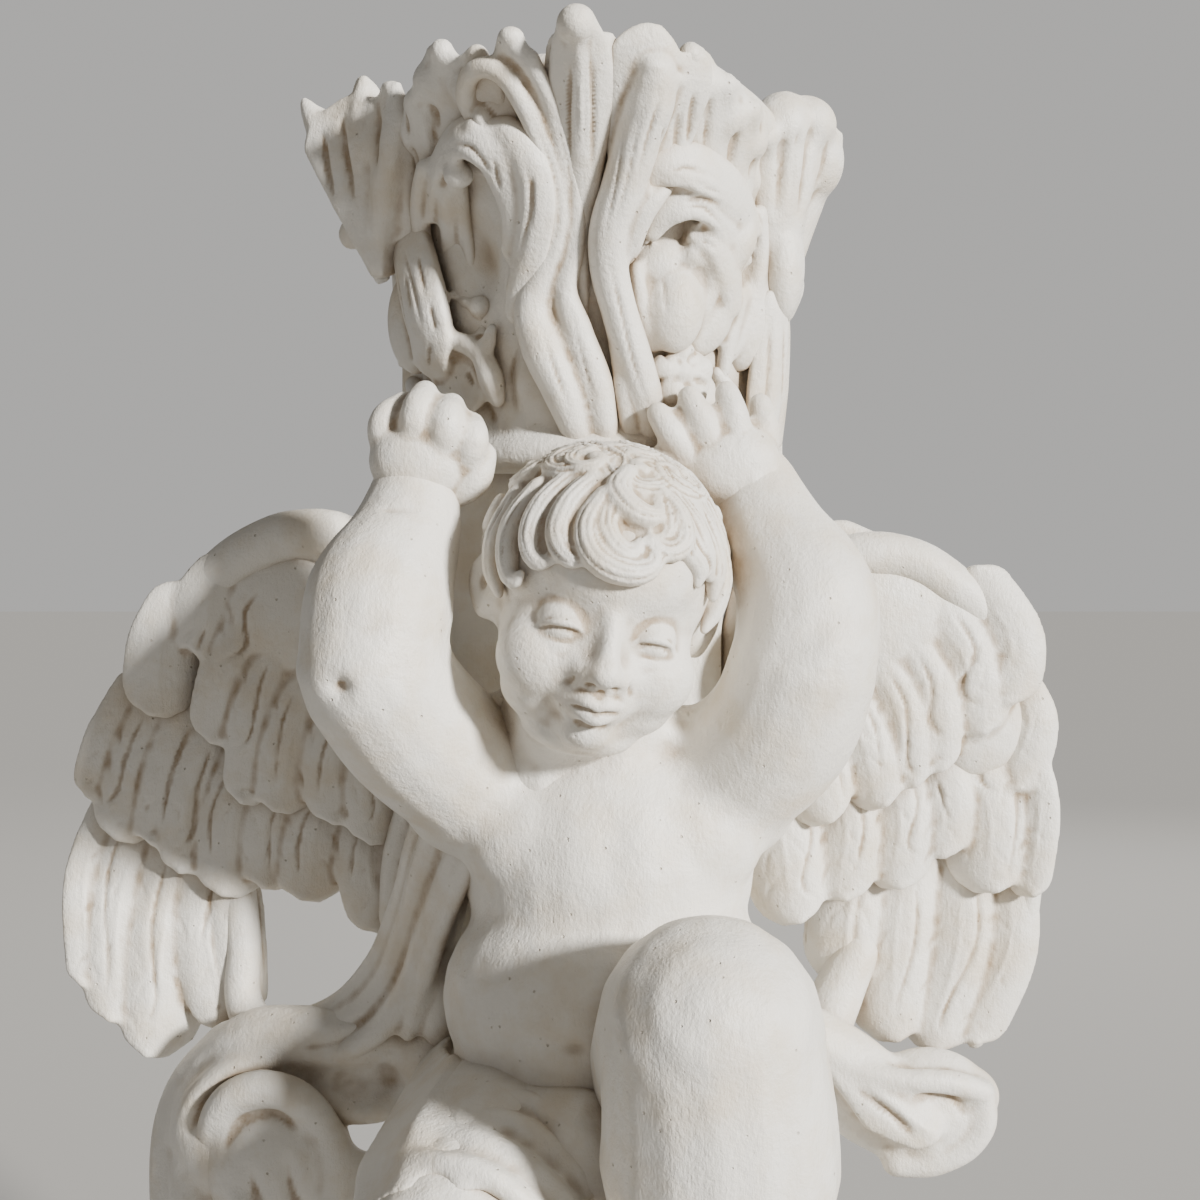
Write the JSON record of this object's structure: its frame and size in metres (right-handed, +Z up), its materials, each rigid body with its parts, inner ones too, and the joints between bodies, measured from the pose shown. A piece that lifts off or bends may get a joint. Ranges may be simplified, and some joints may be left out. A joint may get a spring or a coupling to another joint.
{
  "type": "winged cherub wall sconce",
  "caption": "Ivory resin wall sconce: a seated winged cherub whose raised hands carry an open acanthus capital, with a flat back plate and keyhole hangers.",
  "frame": {"origin": "point of the back plate's wall face on the figure's centre line, level with its waist", "axes": "+Z up along the figure, +Y into the wall, so the figure faces -Y; -X is to the left of a person who faces it"},
  "size_m": [0.2548, 0.1424, 0.3768],
  "materials": {
    "ivory_resin": "satin ivory paint with a brown antiquing wash left in the hollows",
    "hanger_zinc": "zinc-plated stamped steel",
    "screw_brass": "plain brass"
  },
  "bodies": {
    "root": {"hanger_screw_left_upper": "screw_brass", "hanger_screw_left_lower": "screw_brass", "hanger_plate_left": "hanger_zinc", "hanger_screw_right_upper": "screw_brass", "hanger_screw_right_lower": "screw_brass", "hanger_plate_right": "hanger_zinc", "back_plate": "ivory_resin", "torso": "ivory_resin", "head": "ivory_resin", "hair": "ivory_resin", "arm_left": "ivory_resin", "arm_right": "ivory_resin", "hand_left": "ivory_resin", "hand_right": "ivory_resin", "leg_right": "ivory_resin", "leg_left": "ivory_resin", "foot_right": "ivory_resin", "foot_left": "ivory_resin", "capital_cup": "ivory_resin", "leaf_centre": "ivory_resin", "leaf_inner_left": "ivory_resin", "leaf_inner_right": "ivory_resin", "leaf_scroll_left": "ivory_resin", "leaf_lobe_left": "ivory_resin", "leaf_fold_right": "ivory_resin", "rosette_right": "ivory_resin", "leaf_corner_left": "ivory_resin", "leaf_corner_right": "ivory_resin", "leaf_rim_left": "ivory_resin", "leaf_rim_right": "ivory_resin", "leaf_flank_right": "ivory_resin", "wing_left_base": "ivory_resin", "wing_left_shoulder": "ivory_resin", "wing_left_coverts": "ivory_resin", "wing_left_flights": "ivory_resin", "wing_right_base": "ivory_resin", "wing_right_shoulder": "ivory_resin", "wing_right_coverts": "ivory_resin", "wing_right_flights": "ivory_resin", "thigh_drape": "ivory_resin", "lap_drape": "ivory_resin", "shoulder_sash": "ivory_resin", "console_bracket": "ivory_resin", "finial": "ivory_resin", "side_drape_outer": "ivory_resin", "side_drape_inner": "ivory_resin", "tail_drape": "ivory_resin"}
  },
  "joints": []
}
